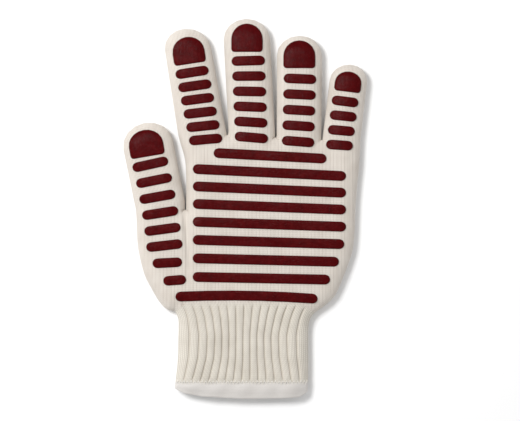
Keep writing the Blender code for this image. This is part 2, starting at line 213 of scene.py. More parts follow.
class Outline:
    """Depth of points in plan inside an outline that lies `margin` outside the given edges."""

    def __init__(self, edges, margin):
        self.start = np.array([edge[0] for edge in edges])
        self.end = np.array([edge[1] for edge in edges])
        self.inward = np.array([edge[2] for edge in edges])
        self.margin = margin

    def nearest(self, points):
        """Depth of each point, the nearest point on the edges, and the outward direction there."""
        points = np.asarray(points, float).reshape(-1, 2)
        run = self.end - self.start
        run_squared = (run ** 2).sum(1)
        depth = np.empty(len(points))
        foot = np.empty((len(points), 2))
        for first in range(0, len(points), 4096):
            part = points[first:first + 4096, None, :]
            share = np.clip(((part - self.start) * run).sum(2) / run_squared, 0, 1)
            feet = self.start + share[..., None] * run
            distance = np.hypot(*np.moveaxis(part - feet, 2, 0))
            pick = distance.argmin(1)
            row = np.arange(len(pick))
            foot[first:first + 4096] = feet[row, pick]
            inside = ((part[:, 0] - feet[row, pick]) * self.inward[pick]).sum(1) > 0
            depth[first:first + 4096] = self.margin + np.where(inside, 1, -1) * distance[row, pick]
        apart = points - foot
        length = np.maximum(np.hypot(*apart.T), 1e-9)[:, None]
        outward = np.where((depth > self.margin)[:, None], -apart, apart) / length
        return depth, foot, outward

    def depth(self, points):
        return self.nearest(points)[0]


# ---------------------------------------------------------------- heights of the fabric

def rounded(share):
    """A quarter round: 0 at share 0, upright there, and level from share 1 on."""
    return np.sqrt(1 - (1 - np.clip(share, 0, 1)) ** 2)


def faded(depth, reach):
    """From 0 at the side to 1 at a depth of reach and beyond."""
    return np.clip(depth / reach, 0, 1)


def path_distance(points, path):
    """Distance in plan from each point to a path."""
    best = np.full(len(points), 1e9)
    for start, end in zip(np.array(path[:-1]), np.array(path[1:])):
        run = end - start
        share = np.clip(((points - start) @ run) / (run @ run), 0, 1)
        best = np.minimum(best, np.hypot(*(points - start - share[:, None] * run).T))
    return best


def waves(points):
    """The fabric's slow unevenness, from -1 to 1."""
    x, y = points.T * 1000
    return (np.sin(x / 9.1 + 1.3 * np.sin(y / 17.0)) * np.sin(y / 13.3 + 0.7)
            + 0.6 * np.sin(x / 5.3 - y / 7.9 + 2.0) + 0.4 * np.sin(x / 3.7 + y / 4.9)) / 2


def front_height(points, depth):
    """Height of the grip side's fabric, without its stitches."""
    share = rounded(depth / SIDE_ROUND)
    height = EDGE_HEIGHT + (CROWN_HEIGHT - EDGE_HEIGHT) * share + UNEVENNESS * waves(points) * share
    fold = np.exp(-(path_distance(points, THUMB_FOLD) / THUMB_FOLD_WIDTH) ** 2)
    fold *= np.clip((points[:, 1] - THUMB_FOLD_END_Y) / THUMB_FOLD_FADE, 0, 1)
    return height - THUMB_FOLD_DEPTH * fold * share


def back_height(points, depth):
    """Height of the fabric that the glove lies on."""
    return BACK_CLEARANCE + EDGE_HEIGHT * (1 - rounded(depth / BACK_ROUND))


def wale_ridge(across):
    """From 0 in the groove between two wales to 1 on a wale."""
    return 0.5 + 0.5 * np.cos(2 * np.pi * across / WALE)


def skin_front(points, depth, fabric):
    fade = faded(depth, RELIEF_FADE)
    return front_height(points, depth) + WALE_RELIEF * fade * (wale_ridge(fabric[:, 0]) - 0.5)


def skin_back(points, depth, fabric):
    fade = faded(depth, RELIEF_FADE)
    return back_height(points, depth) + WALE_RELIEF * fade * (1 - wale_ridge(fabric[:, 0]))


# ---------------------------------------------------------------- meshes

def mesh_object(name, points, faces, fabric, material):
    """A smooth mesh whose UV map, fabric, holds the knit's own coordinates across and along, in metres."""
    mesh = bpy.data.meshes.new(name)
    mesh.from_pydata([tuple(p) for p in points], [], faces)
    layer = mesh.uv_layers.new(name="fabric")
    corner = np.empty(len(mesh.loops), np.int32)
    mesh.loops.foreach_get("vertex_index", corner)
    layer.data.foreach_set("uv", np.asarray(fabric, np.float32)[corner].ravel())
    mesh.materials.append(material)
    mesh.validate()
    obj = bpy.data.objects.new(name, mesh)
    bpy.context.scene.collection.objects.link(obj)
    mesh.shade_smooth()
    return obj


def settle(obj):
    """Turns an object's modifiers into its mesh."""
    graph = bpy.context.evaluated_depsgraph_get()
    mesh = bpy.data.meshes.new_from_object(obj.evaluated_get(graph))
    obj.modifiers.clear()
    obj.data = mesh
    mesh.name = obj.name
    mesh.set_sharp_from_angle(angle=math.radians(62))
    return obj


def weld(obj, distance):
    """Joins an object's mesh where points lie within a distance of each other."""
    mesh = bmesh.new()
    mesh.from_mesh(obj.data)
    bmesh.ops.remove_doubles(mesh, verts=mesh.verts[:], dist=distance)
    mesh.to_mesh(obj.data)
    mesh.free()


def cut_cells(grid, fabric, level):
    """Cuts a grid of quads to where level is above 0. Gives the corner points, their fabric coordinates, the
    faces, and the cut's edges."""
    rows, columns = level.shape
    points, across = [], []
    seen = {}

    def corner(key, place, coordinates):
        if key not in seen:
            seen[key] = len(points)
            points.append(place)
            across.append(coordinates)
        return seen[key]

    faces, rim = [], []
    for row in range(rows - 1):
        for column in range(columns - 1):
            ring = [(row, column), (row, column + 1), (row + 1, column + 1), (row + 1, column)]
            inside = [level[key] > 0 for key in ring]
            if not any(inside):
                continue
            face, cuts = [], []
            for step in range(4):
                here, ahead = ring[step], ring[(step + 1) % 4]
                if inside[step]:
                    face.append(corner(here, grid[here], fabric[here]))
                if inside[step] != inside[(step + 1) % 4]:
                    first, second = sorted((here, ahead))
                    share = level[first] / (level[first] - level[second])
                    place = grid[first] + share * (grid[second] - grid[first])
                    coordinates = fabric[first] + share * (fabric[second] - fabric[first])
                    face.append(corner((first, second), place, coordinates))
                    cuts.append((face[-1], inside[step]))
            faces.append(face)
            if len(cuts) == 2:
                leaving, entering = cuts if cuts[0][1] else cuts[::-1]
                rim.append((leaving[0], entering[0]))
    return np.array(points), np.array(across), faces, rim


def pillow(name, grids, outline, front, back, edge_depth, steps, material):
    """A skin over grids of plan points: a front and a back sheet, joined round the outline by a rounded fold
    that is edge_depth deep. It is open where a grid ends inside the outline. front and back give the height
    of plan points from the points, their depth and their fabric coordinates."""
    points, fabric, faces, rim = np.empty((0, 2)), np.empty((0, 2)), [], []
    for grid, across in grids:
        level = outline.depth(grid).reshape(grid.shape[:2]) - edge_depth
        level[np.abs(level) < 2e-6] = 2e-6
        part, part_fabric, part_faces, part_rim = cut_cells(grid, across, level)
        base = len(points)
        points = np.vstack([points, part])
        fabric = np.vstack([fabric, part_fabric])
        faces += [[base + corner for corner in face] for face in part_faces]
        rim += [(base + a, base + b) for a, b in part_rim]
    count = len(points)
    depth, foot, outward = outline.nearest(points)
    on_rim = sorted({corner for edge in rim for corner in edge})
    points[on_rim] = foot[on_rim] + outward[on_rim] * (outline.margin - edge_depth)
    depth[on_rim] = edge_depth
    places = [np.column_stack([points, front(points, depth, fabric)]),
              np.column_stack([points, back(points, depth, fabric)])]
    coordinates = [fabric, fabric]
    turn = edge_depth * (1 - np.cos(np.linspace(0, math.pi / 2, steps + 1)[1:-1][::-1]))
    levels = [(d, front) for d in turn] + [(0.0, front)] + [(d, back) for d in turn[::-1]]
    rim_row = {corner: place for place, corner in enumerate(on_rim)}
    for deep, height in levels:
        plan = foot[on_rim] + outward[on_rim] * (outline.margin - deep)
        reach = 1.3 * (edge_depth - deep)
        stretched = fabric[on_rim] + outward[on_rim] * reach
        places.append(np.column_stack([plan, height(plan, np.full(len(plan), deep), stretched)]))
        coordinates.append(stretched)
    chain = [2 * count + rank * len(on_rim) for rank in range(len(levels))]

    def along(corner):
        return [corner] + [base + rim_row[corner] for base in chain] + [count + corner]

    all_faces = faces + [[count + corner for corner in face[::-1]] for face in faces]
    for a, b in rim:
        first, second = along(a), along(b)
        for rank in range(len(first) - 1):
            all_faces.append([second[rank], first[rank], first[rank + 1], second[rank + 1]])
    obj = mesh_object(name, np.vstack(places), all_faces, np.vstack(coordinates), material)
    weld(obj, 4e-6)
    return obj


def shell(obj, wall=WALL):
    """Gives an open skin a wall towards its inside."""
    solid = obj.modifiers.new("wall", "SOLIDIFY")
    solid.thickness = wall
    solid.offset = -1
    solid.use_rim = True
    return settle(obj)


# ---------------------------------------------------------------- materials

def linear(colour):
    """sRGB hex to linear RGBA."""
    parts = [int(colour[i:i + 2], 16) / 255 for i in (1, 3, 5)]
    return [c / 12.92 if c <= 0.04045 else ((c + 0.055) / 1.055) ** 2.4 for c in parts] + [1.0]


def add(tree, kind, inputs=None, **settings):
    """Adds a node with its settings. inputs gives each socket, by name or number, a value or an output."""
    node = tree.nodes.new(kind)
    for key, value in settings.items():
        setattr(node, key, value)
    for key, value in (inputs or {}).items():
        if isinstance(value, bpy.types.NodeSocket):
            tree.links.new(value, node.inputs[key])
        else:
            node.inputs[key].default_value = value
    return node


def new_material(name):
    """An empty material's tree with its shader."""
    material = bpy.data.materials.new(name)
    material.use_nodes = True
    tree = material.node_tree
    tree.nodes.clear()
    shader = add(tree, "ShaderNodeBsdfPrincipled")
    add(tree, "ShaderNodeOutputMaterial", {"Surface": shader.outputs["BSDF"]})
    return material, tree, shader


def maths(tree, operation, *values):
    return add(tree, "ShaderNodeMath", dict(enumerate(values)), operation=operation).outputs[0]


def knit_height(tree, wale, course, slant=0.55):
    """Height of plain knit: two slanted legs to each wale, one pair to each course."""
    coordinates = add(tree, "ShaderNodeUVMap", uv_map="fabric").outputs["UV"]
    parts = add(tree, "ShaderNodeSeparateXYZ", {0: coordinates})
    across = maths(tree, "DIVIDE", parts.outputs["X"], wale)
    along = maths(tree, "DIVIDE", parts.outputs["Y"], course)
    from_wale = maths(tree, "PINGPONG", across, 0.5)
    slanted = maths(tree, "MULTIPLY_ADD", from_wale, 2 * slant, along)
    stitch = maths(tree, "PINGPONG", slanted, 0.5)
    stitch = maths(tree, "SINE", maths(tree, "MULTIPLY", stitch, math.pi))
    leg = maths(tree, "PINGPONG", maths(tree, "ADD", across, 0.25), 0.25)
    leg = maths(tree, "SINE", maths(tree, "MULTIPLY", leg, 2 * math.pi))
    stitch = maths(tree, "MULTIPLY_ADD", maths(tree, "POWER", stitch, 0.6), 0.45, 0.55)
    return maths(tree, "MULTIPLY", stitch, maths(tree, "POWER", leg, 0.5))


def knit_material(name, yarn, groove, wale=WALE, course=COURSE, depth=0.00028, groove_shade_share=0.9):
    """Cotton-faced aramid knit: matt yarn, with painted shade in the dips between stitches, and a soft sheen of
    loose fibre.
    The mottling is about 11 mm across, and the fibres that fuzz the yarn 0.4 mm."""
    material, tree, shader = new_material(name)
    height = knit_height(tree, wale, course)
    place = add(tree, "ShaderNodeTexCoord").outputs["Object"]
    mottle = add(tree, "ShaderNodeTexNoise", {"Vector": place, "Scale": 90.0, "Detail": 4.0})
    fibre = add(tree, "ShaderNodeTexNoise", {"Vector": place, "Scale": 2600.0, "Detail": 2.0})
    # The groove colour is painted shade: it darkens the yarn where the stitches dip, by how low the knit lies
    # there. The mottle added to it is the yarn's own uneven tone.
    dip = maths(tree, "MULTIPLY", maths(tree, "SUBTRACT", 1.0, height), groove_shade_share)
    dip = maths(tree, "MULTIPLY_ADD", maths(tree, "SUBTRACT", mottle.outputs["Fac"], 0.5), 0.5, dip)
    colour = add(tree, "ShaderNodeMix", {"Factor": dip, 6: linear(yarn), 7: linear(groove)}, data_type="RGBA")
    tint = add(tree, "ShaderNodeHueSaturation", {"Color": colour.outputs[2], "Value": maths(
        tree, "MULTIPLY_ADD", fibre.outputs["Fac"], 0.16, 0.92)})
    fuzz = maths(tree, "MULTIPLY_ADD", fibre.outputs["Fac"], 0.35, height)
    bump = add(tree, "ShaderNodeBump", {"Strength": 0.8, "Distance": depth, "Height": fuzz})
    tree.links.new(tint.outputs["Color"], shader.inputs["Base Color"])
    tree.links.new(bump.outputs["Normal"], shader.inputs["Normal"])
    shader.inputs["Roughness"].default_value = 0.92
    shader.inputs["Sheen Weight"].default_value = 0.25
    shader.inputs["Sheen Roughness"].default_value = 0.5
    return material


def thread_material():
    """Spun polyester sewing yarn: white, matt, with a slanting twist whose grooves carry painted shade, which
    keeps it from looking like plastic.
    The twist's pitch is about 1 mm, and its fibres 0.3 mm."""
    material, tree, shader = new_material("white_spun_thread")
    place = add(tree, "ShaderNodeTexCoord").outputs["Object"]
    twist = add(tree, "ShaderNodeTexWave", {"Vector": place, "Scale": 900.0, "Distortion": 1.5},
                bands_direction="DIAGONAL")
    fibre = add(tree, "ShaderNodeTexNoise", {"Vector": place, "Scale": 3000.0})
    # The darker colour is painted shade in the twist's low bands, the grooves between its strands; the yarn
    # itself is evenly white.
    colour = add(tree, "ShaderNodeMix", {"Factor": twist.outputs["Fac"], 6: linear("#CFC9BF"),
                                         7: linear("#EFECE6")}, data_type="RGBA")
    height = maths(tree, "MULTIPLY_ADD", fibre.outputs["Fac"], 0.4, twist.outputs["Fac"])
    bump = add(tree, "ShaderNodeBump", {"Strength": 0.6, "Distance": 0.0001, "Height": height})
    tree.links.new(colour.outputs[2], shader.inputs["Base Color"])
    tree.links.new(bump.outputs["Normal"], shader.inputs["Normal"])
    shader.inputs["Roughness"].default_value = 0.85
    return material


def silicone_material():
    """Cured silicone print: deep maroon, with a skin that gleams in specks where the knit shows through it.
    Its cloudy colour is about 4 mm across, and its ripples 1 mm."""
    material, tree, shader = new_material("cured_silicone_print")
    height = knit_height(tree, WALE, COURSE)
    place = add(tree, "ShaderNodeTexCoord").outputs["Object"]
    cloud = add(tree, "ShaderNodeTexNoise", {"Vector": place, "Scale": 260.0, "Detail": 3.0})
    ripple = add(tree, "ShaderNodeTexNoise", {"Vector": place, "Scale": 900.0, "Detail": 2.0})
    colour = add(tree, "ShaderNodeMix", {"Factor": cloud.outputs["Fac"], 6: linear("#340204"),
                                         7: linear("#570609")}, data_type="RGBA")
    skin = maths(tree, "MULTIPLY_ADD", ripple.outputs["Fac"], 0.8, maths(tree, "MULTIPLY", height, 0.35))
    bump = add(tree, "ShaderNodeBump", {"Strength": 0.9, "Distance": 0.0003, "Height": skin})
    gloss = maths(tree, "MULTIPLY_ADD", cloud.outputs["Fac"], 0.3, 0.1)
    tree.links.new(colour.outputs[2], shader.inputs["Base Color"])
    tree.links.new(bump.outputs["Normal"], shader.inputs["Normal"])
    tree.links.new(gloss, shader.inputs["Roughness"])
    shader.inputs["IOR"].default_value = 1.41
    shader.inputs["Specular IOR Level"].default_value = 0.07
    return material


# ---------------------------------------------------------------- fingers and palm

def joint_place(name):
    joint = next(j for j in frame["joints"] if j["name"] == name)
    return joint, np.array(joint["pos_m"])


def column_places(low, high):
    """Column positions on the wales' own grid between two places across the glove."""
    step = WALE / COLUMNS_PER_WALE
    return np.arange(math.floor(low / step), math.ceil(high / step) + 1) * step


def finger_sections(name):
    """A finger's parts from the palm outwards: plan grid, joint, bodies, and where the bend starts and ends."""
    joints = [joint_place(f"{name}_{word}") for word in FINGERS[name]]
    root = joints[0][1][:2]
    run = joints[-1][1][:2] - root
    axis = run / np.linalg.norm(run)
    right = np.array([axis[1], -axis[0]])
    hinge = np.array(joints[0][0]["axis"][:2])
    ahead = np.array([-hinge[1], hinge[0]])
    ahead *= np.sign(ahead @ axis)
    slope = (hinge @ axis) / (hinge @ right)
    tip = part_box(f"{name}_cap")[1].y
    length = (tip - root[1]) / axis[1] + BEYOND_CAP
    places = [0.0] + [float((pos[:2] - root) @ axis) for _, pos in joints[1:]]
    spans = [(0.0, KNUCKLE_BEND)] + [(place - FINGER_BEND, place + FINGER_BEND) for place in places[1:]]
    seams = [0.0] + [(before[1] + after[0]) / 2 for before, after in zip(spans, spans[1:])] + [length]
    own_points = np.array([vertex.co[:2] for joint, _ in joints
                           for vertex in frame["nodes"][joint["child"]].data.vertices])
    half_width = np.abs((own_points - root) @ right).max()
    offsets = column_places(root[0] - half_width, root[0] + half_width) - root[0]
    sections = []
    for (joint, _), span, first, last in zip(joints, spans, seams, seams[1:]):
        rows = np.linspace(first, last, max(3, round((last - first) / ROW_STEP)) + 1)
        along = rows[:, None] + slope * offsets[None, :]
        across = np.broadcast_to(offsets, along.shape)
        grid = root + across[..., None] * right + along[..., None] * axis
        fabric = np.dstack([across + root[0], along + root[1]])
        sections.append({
            "grid": (grid, fabric), "parent": joint["parent"], "child": joint["child"],
            "start": root + span[0] * axis, "end": root + span[1] * axis, "root": root, "ahead": ahead,
            "from": first, "to": last, "name": joint["child"],
        })
    return sections


def bend(obj, section):
    """Works out where the section's bend starts and ends along the line square to the joint's axis, and bakes
    the piece's place into its mesh.
    """
    ahead = section["ahead"]
    reach = [float((section[key] - section["root"]) @ ahead) for key in ("start", "end")]
    points = [section["root"] + r * ahead for r in reach]
    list(map(float, points[0]))
    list(map(float, points[1]))
    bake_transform(obj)


def palm_grids(outline):
    """The palm's plan grids: the ball of the thumb left of the fold at the thumb, the palm right of it, and the
    corner under the index finger that leans out over the fold."""
    low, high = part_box("palm")
    columns = column_places(low.x - 0.001, high.x + 0.002)
    fold = columns[np.abs(columns - THUMB_CROTCH_X).argmin()]
    search = np.column_stack([np.full(400, fold), np.linspace(*THUMB_CROTCH_Y, 400)])
    open_here = outline.depth(search) < FOLD_DEPTH
    crotch = search[open_here.argmax(), 1]
    bottom_x, bottom_y = np.array(WRIST_LINE).T
    base = bottom_y.max()

    def root_line(name, x):
        joint, place = joint_place(f"{name}_knuckle")
        return place[1] + (x - place[0]) * joint["axis"][1] / joint["axis"][0]

    def top(x):
        heights = np.array([root_line(name, x) for name in ("index", "middle", "ring", "little")])
        edges = [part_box(f"{name}_base")[1].x for name in ("index", "middle", "ring")]
        return np.choose(np.searchsorted(edges, x), heights)

    wrist = np.interp(columns, bottom_x, bottom_y) - base
    level = np.linspace(base, crotch, round((crotch - base) / ROW_STEP) + 1)
    lower = level[:, None] + wrist * np.clip(1 - (level - base) / WRIST_BLEND, 0, 1)[:, None]
    grids = []
    for part, first, last in (("ball", low.x - 1, fold), ("palm", fold, high.x + 1),
                              ("index_side", fold - INDEX_SIDE_REACH, fold)):
        pick = (columns > first - 1e-9) & (columns < last + 1e-9)
        x = columns[pick]
        ends = root_line("thumb", x) if part == "ball" else top(x)
        count = round(((BALL_TOP_Y if part == "ball" else PALM_TOP_Y) - crotch) / ROW_STEP)
        share = np.linspace(0, 1, count + 1)[1:, None]
        y = crotch + share * (ends - crotch)
        if part == "index_side":
            y = y[share[:, 0] > INDEX_SIDE_START]
        else:
            y = np.vstack([lower[:, pick], y])
        grid = np.dstack([np.broadcast_to(x, y.shape), y])
        grids.append((grid, grid))
    return grids


def make_skin(node, grids, material):
    """One part of the knitted skin, with its wall."""
    skin = pillow(f"{node}_knit", grids, outline, skin_front, skin_back, FOLD_DEPTH, FOLD_STEPS, material)
    shell(skin)
    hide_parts(node)
    return skin


def make_grip(node, section_list, outline, material):
    """A silicone grip laid on the crowned fabric, with a rounded edge that sinks into the knit."""
    edges = flat_top_edges(frame["nodes"][node], (-0.05, 0.05))
    rim = Outline(edges, 0.0)
    low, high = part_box(node)
    corners = np.array([(low.x, low.y), (high.x, low.y), (low.x, high.y), (high.x, high.y)])
    centre = corners.mean(0)
    longest = max(edges, key=lambda edge: np.linalg.norm(edge[1] - edge[0]))
    along = (longest[1] - longest[0]) / np.linalg.norm(longest[1] - longest[0])
    if abs(along[0]) < 0.5:
        along = np.array([1.0, 0.0])
    along = along * np.sign(along[0])
    up = np.array([-along[1], along[0]])
    reach_x = np.abs((corners - centre) @ along).max()
    reach_y = np.abs((corners - centre) @ up).max()
    step_x, step_y = GRIP_GRID
    across = np.arange(-reach_x, reach_x + step_x, step_x)
    rows = np.arange(-reach_y, reach_y + step_y, step_y)
    grid = centre + across[None, :, None] * along + rows[:, None, None] * up

    def lay(points, depth):
        return front_height(points, outline.depth(points))

    def top(points, depth, fabric):
        dome, reach = GRIP_DOME
        swell = rounded(depth / GRIP_EDGE) + dome * rounded(depth / reach)
        return lay(points, depth) + GRIP_THICKNESS * swell

    def under(points, depth, fabric):
        return lay(points, depth) - GRIP_SINK * rounded(depth / GRIP_EDGE)

    obj = pillow(f"{node}_print", [(grid, grid)], rim, top, under, GRIP_EDGE, 4, material)
    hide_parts(node)
    for section in section_list:
        along_finger = [(corner - section["root"]) @ section["ahead"] for corner in corners]
        first, last = ((section[key] - section["root"]) @ section["ahead"] for key in ("start", "end"))
        middle = (centre - section["root"]) @ section["ahead"]
        near = first - GRIP_NEAR_JOINT < middle < last + GRIP_NEAR_JOINT
        if near or (first < min(along_finger) < last and "cap" in node):
            bend(obj, section)
            return
    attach(obj, frame["nodes"][node]["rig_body"])


# ---------------------------------------------------------------- cuff, hem and liner

def at_height(path, y):
    """Where a path that runs down the glove crosses a height."""
    x, heights = np.array(path)[::-1].T
    return float(np.interp(y, heights, x))


def wrist_row(share_down, ribs):
    """Plan points across the cuff, one for each rib place, share_down of the way from the seam to the hem."""
    edge = ribs / (RIBS / 2)
    seam_x, seam_y = np.array(WRIST_LINE).T
    drop = max(0.0, 1 - share_down / CORNER_SHARE)
    middle = seam_y.max() + share_down * (HEM_TOP_Y - seam_y.max())
    left_y, right_y = middle + drop * (seam_y[[0, -1]] - seam_y.max())
    left, right = at_height(CUFF_LEFT, left_y), at_height(CUFF_RIGHT, right_y)
    ends = np.array([(left, left_y), (right, right_y)])
    for _ in range(3):
        _, foot, outward = outline.nearest(ends)
        ends = foot + outward * outline.margin
    bunch = np.interp(middle, *RIB_SPREAD)
    x = ends[:, 0].mean() + np.ptp(ends[:, 0]) / 2 * (bunch * edge + (1 - bunch) * edge ** 5)
    y = middle + drop * (np.interp(x, seam_x, seam_y) - seam_y.max())
    y += (ends[:, 1] - y[[0, -1]])[(edge > 0).astype(int)] * np.abs(edge) ** 5
    return np.column_stack([x, y])


def cuff_columns():
    """Rib places across the cuff, from the left edge to the right one, closer together at the sides."""
    half = RIBS / 2
    inner = np.linspace(-half + 0.5, half - 0.5, (RIBS - 1) * COLUMNS_PER_RIB + 1)
    turn = half - 0.5 * (1 - np.cos(np.linspace(0, math.pi / 2, TURN_COLUMNS + 1)))[:-1]
    return np.concatenate([-turn, inner, turn[::-1]])


def rib_ridge(ribs):
    """From 0 in the groove between two ribs to 1 on a rib."""
    offset = 2 * np.abs(ribs + 0.5 - np.round(ribs + 0.5))
    return np.sqrt(np.clip(1 - offset ** 2.4, 0, 1))


def tube_from_rows(name, fronts, backs, fabric, material):
    """A tube through rows of front points, left to right, and back points, which share their two ends."""
    columns = fronts[0].shape[0]
    around = 2 * columns - 2
    points = np.vstack([np.vstack([front, back[-2:0:-1]]) for front, back in zip(fronts, backs)])
    coordinates = np.vstack([np.vstack([f, f[-2:0:-1]]) for f in fabric])
    faces = []
    for row in range(len(fronts) - 1):
        for column in range(around):
            a, b = row * around + column, row * around + (column + 1) % around
            faces.append([a, a + around, b + around, b])
    return mesh_object(name, points, faces, coordinates, material)


def make_cuff(outline, material):
    """The ribbed wrist: ribs that fan out from the narrow wrist to the palm and flare to the hem."""
    own_sides = Outline(side_edges(["cuff", "hem"]), CAD_ROUND)
    ribs = cuff_columns()
    fronts, backs, fabric = [], [], []
    for row in range(CUFF_ROWS + 1):
        share = row / CUFF_ROWS
        plan = wrist_row(share, ribs)
        depth = np.maximum(outline.depth(plan), own_sides.depth(plan))
        depth = np.maximum(depth, 0)
        depth[[0, -1]] = 0
        rise = faded(share - 0.01, CUFF_END_SHARE) * faded(1 - share, CUFF_END_SHARE) ** 0.5
        fade = faded(depth, SIDE_FADE) * rise
        ridge = RIB_HEIGHT * (rib_ridge(ribs) - 1) * fade
        pull = HEM_SEAM_DIP * (1 - faded(1 - share, CUFF_END_SHARE)) * faded(depth, SIDE_FADE)
        fronts.append(np.column_stack([plan, front_height(plan, depth) + ridge - pull]))
        backs.append(np.column_stack([plan, back_height(plan, depth) - ridge]))
        fabric.append(np.column_stack([ribs * RIB_FABRIC, plan[:, 1]]))
    obj = tube_from_rows("ribbed_cuff", fronts, backs, fabric, material)
    shell(obj)
    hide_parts("cuff")
    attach(obj, "hand")


def stitch_group():
    """Lays yarn stitches across a path at an even spacing, leaning to one side and the other in turn."""
    tree = bpy.data.node_groups.new("overlock_stitches", "GeometryNodeTree")
    sockets = {"Geometry": "NodeSocketGeometry", "Spacing": "NodeSocketFloat", "Length": "NodeSocketFloat",
               "Hump": "NodeSocketFloat", "Radius": "NodeSocketFloat", "Lean": "NodeSocketFloat",
               "Yarn": "NodeSocketMaterial"}
    for label, kind in sockets.items():
        tree.interface.new_socket(label, in_out="INPUT", socket_type=kind)
    tree.interface.new_socket("Geometry", in_out="OUTPUT", socket_type="NodeSocketGeometry")
    given = tree.nodes.new("NodeGroupInput").outputs
    path = add(tree, "GeometryNodeMeshToCurve", {"Mesh": given["Geometry"]}).outputs["Curve"]
    path = add(tree, "GeometryNodeResampleCurve", {"Curve": path, "Length": given["Spacing"]}, mode="LENGTH")
    half = maths(tree, "MULTIPLY", given["Length"], 0.5)
    start = add(tree, "ShaderNodeCombineXYZ", {"Y": maths(tree, "MULTIPLY", half, -1.0)}).outputs[0]
    middle = add(tree, "ShaderNodeCombineXYZ", {"Z": given["Hump"]}).outputs[0]
    end = add(tree, "ShaderNodeCombineXYZ", {"Y": half}).outputs[0]
    arc = add(tree, "GeometryNodeCurveQuadraticBezier",
              {"Resolution": 7, "Start": start, "Middle": middle, "End": end})
    ring = add(tree, "GeometryNodeCurvePrimitiveCircle", {"Resolution": 7, "Radius": given["Radius"]})
    yarn = add(tree, "GeometryNodeCurveToMesh",
               {"Curve": arc.outputs["Curve"], "Profile Curve": ring.outputs["Curve"], "Fill Caps": True})
    tangent = add(tree, "GeometryNodeInputTangent").outputs["Tangent"]
    along = add(tree, "FunctionNodeAlignRotationToVector", {"Vector": tangent}, axis="X")
    odd = maths(tree, "MODULO", add(tree, "GeometryNodeInputIndex").outputs["Index"], 2.0)
    side = maths(tree, "MULTIPLY", maths(tree, "MULTIPLY_ADD", odd, 2.0, -1.0), given["Lean"])
    lean = add(tree, "FunctionNodeAxisAngleToRotation", {"Axis": (0.0, 0.0, 1.0), "Angle": side})
    turn = add(tree, "FunctionNodeRotateRotation",
               {"Rotation": along.outputs["Rotation"], "Rotate By": lean.outputs["Rotation"]},
               rotation_space="LOCAL")
    laid = add(tree, "GeometryNodeInstanceOnPoints",
               {"Points": path.outputs["Curve"], "Instance": yarn.outputs["Mesh"],
                "Rotation": turn.outputs["Rotation"]})
    real = add(tree, "GeometryNodeRealizeInstances", {"Geometry": laid.outputs["Instances"]})
    done = add(tree, "GeometryNodeSetMaterial",
               {"Geometry": real.outputs["Geometry"], "Material": given["Yarn"]})
    add(tree, "NodeGroupOutput", {"Geometry": done.outputs["Geometry"]})
    return tree


def make_stitches(name, path, hump, group, material):
    """A row of stitches along a path of points, whose middles stand hump above it."""
    mesh = bpy.data.meshes.new(name)
    mesh.from_pydata([tuple(point) for point in path], [(i, i + 1) for i in range(len(path) - 1)], [])
    obj = bpy.data.objects.new(name, mesh)
    bpy.context.scene.collection.objects.link(obj)
    modifier = obj.modifiers.new("stitches", "NODES")
    modifier.node_group = group
    values = {"Spacing": STITCH_SPACING, "Length": STITCH_LENGTH, "Hump": hump, "Radius": STITCH_RADIUS,
              "Lean": STITCH_LEAN, "Yarn": material}
    for item in group.interface.items_tree:
        if item.in_out == "INPUT" and item.name in values:
            modifier[item.identifier] = values[item.name]
    settle(obj)
    obj.data.shade_smooth()
    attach(obj, "hand")


def make_hem(outline, material):
    """The folded hem: its outer ply, the roll at the mouth and its inner ply, in one closed band."""
    ribs = cuff_columns()
    top = wrist_row(1.0, ribs)
    depth = np.maximum(outline.depth(top), 0)
    depth[[0, -1]] = 0
    mouth_x, mouth_y = np.array(HEM_MOUTH).T
    widening = np.where(ribs > 0, mouth_x[-1] - top[-1, 0], mouth_x[0] - top[0, 0])
    x = top[:, 0] + widening * np.abs(ribs / ribs[-1])
    mouth = np.column_stack([x, np.interp(x, mouth_x, mouth_y) + HEM_ROLL])
    fronts, backs, fabric = [], [], []
    front_top = front_height(top, depth) - HEM_SEAM_DIP * faded(depth, SIDE_FADE)
    back_top = back_height(top, depth)

    def station(share, inset, along):
        """One loop of the band: its share of the way to the mouth, how far in from the band's face it lies,
        and how far past the mouth's line."""
        plan = top + share * (mouth - top)
        plan[:, 1] -= along
        swell = HEM_SWELL * np.sin(math.pi * min(1, share * 1.15)) * faded(depth, SIDE_FADE)
        close = HEM_CLOSE * share ** 2 * faded(depth, 2 * SIDE_FADE)
        wave = HEM_WAVE * np.sin(ribs * 2.1 + 3 * share) * faded(depth, RELIEF_FADE)
        front, back = front_top + swell - close + wave, back_top + close * 0.6
        front = np.maximum(front, EDGE_HEIGHT + 0.0001)
        height = np.maximum(front - back, 0.0002)
        tuck = np.minimum(inset, height * 0.42)
        plan[:, 0] -= np.sign(plan[:, 0]) * inset * (1 - faded(depth, 2 * SIDE_FADE))
        fronts.append(np.column_stack([plan, front - tuck]))
        backs.append(np.column_stack([plan, back + tuck]))
        fabric.append(np.column_stack([ribs * RIB_FABRIC, plan[:, 1]]))

    for row in range(HEM_ROWS + 1):
        station(row / HEM_ROWS, 0.0, 0.0)
    for step in range(1, HEM_ROLL_STEPS):
        angle = math.pi * step / HEM_ROLL_STEPS
        station(1.0, HEM_ROLL * (1 - math.cos(angle)), HEM_ROLL * math.sin(angle))
    for row in range(HEM_ROWS + 1):
        station(1 - row / HEM_ROWS, 2 * HEM_ROLL, 0.0)
    for front, back in zip(fronts, backs):
        back[[0, -1]] = front[[0, -1]] = (front[[0, -1]] + back[[0, -1]]) / 2
    fronts.append(fronts[0])
    backs.append(backs[0])
    fabric.append(fabric[0])
    obj = tube_from_rows("folded_hem", fronts, backs, fabric, material)
    weld(obj, 1e-6)
    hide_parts("hem")
    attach(obj, "hand")


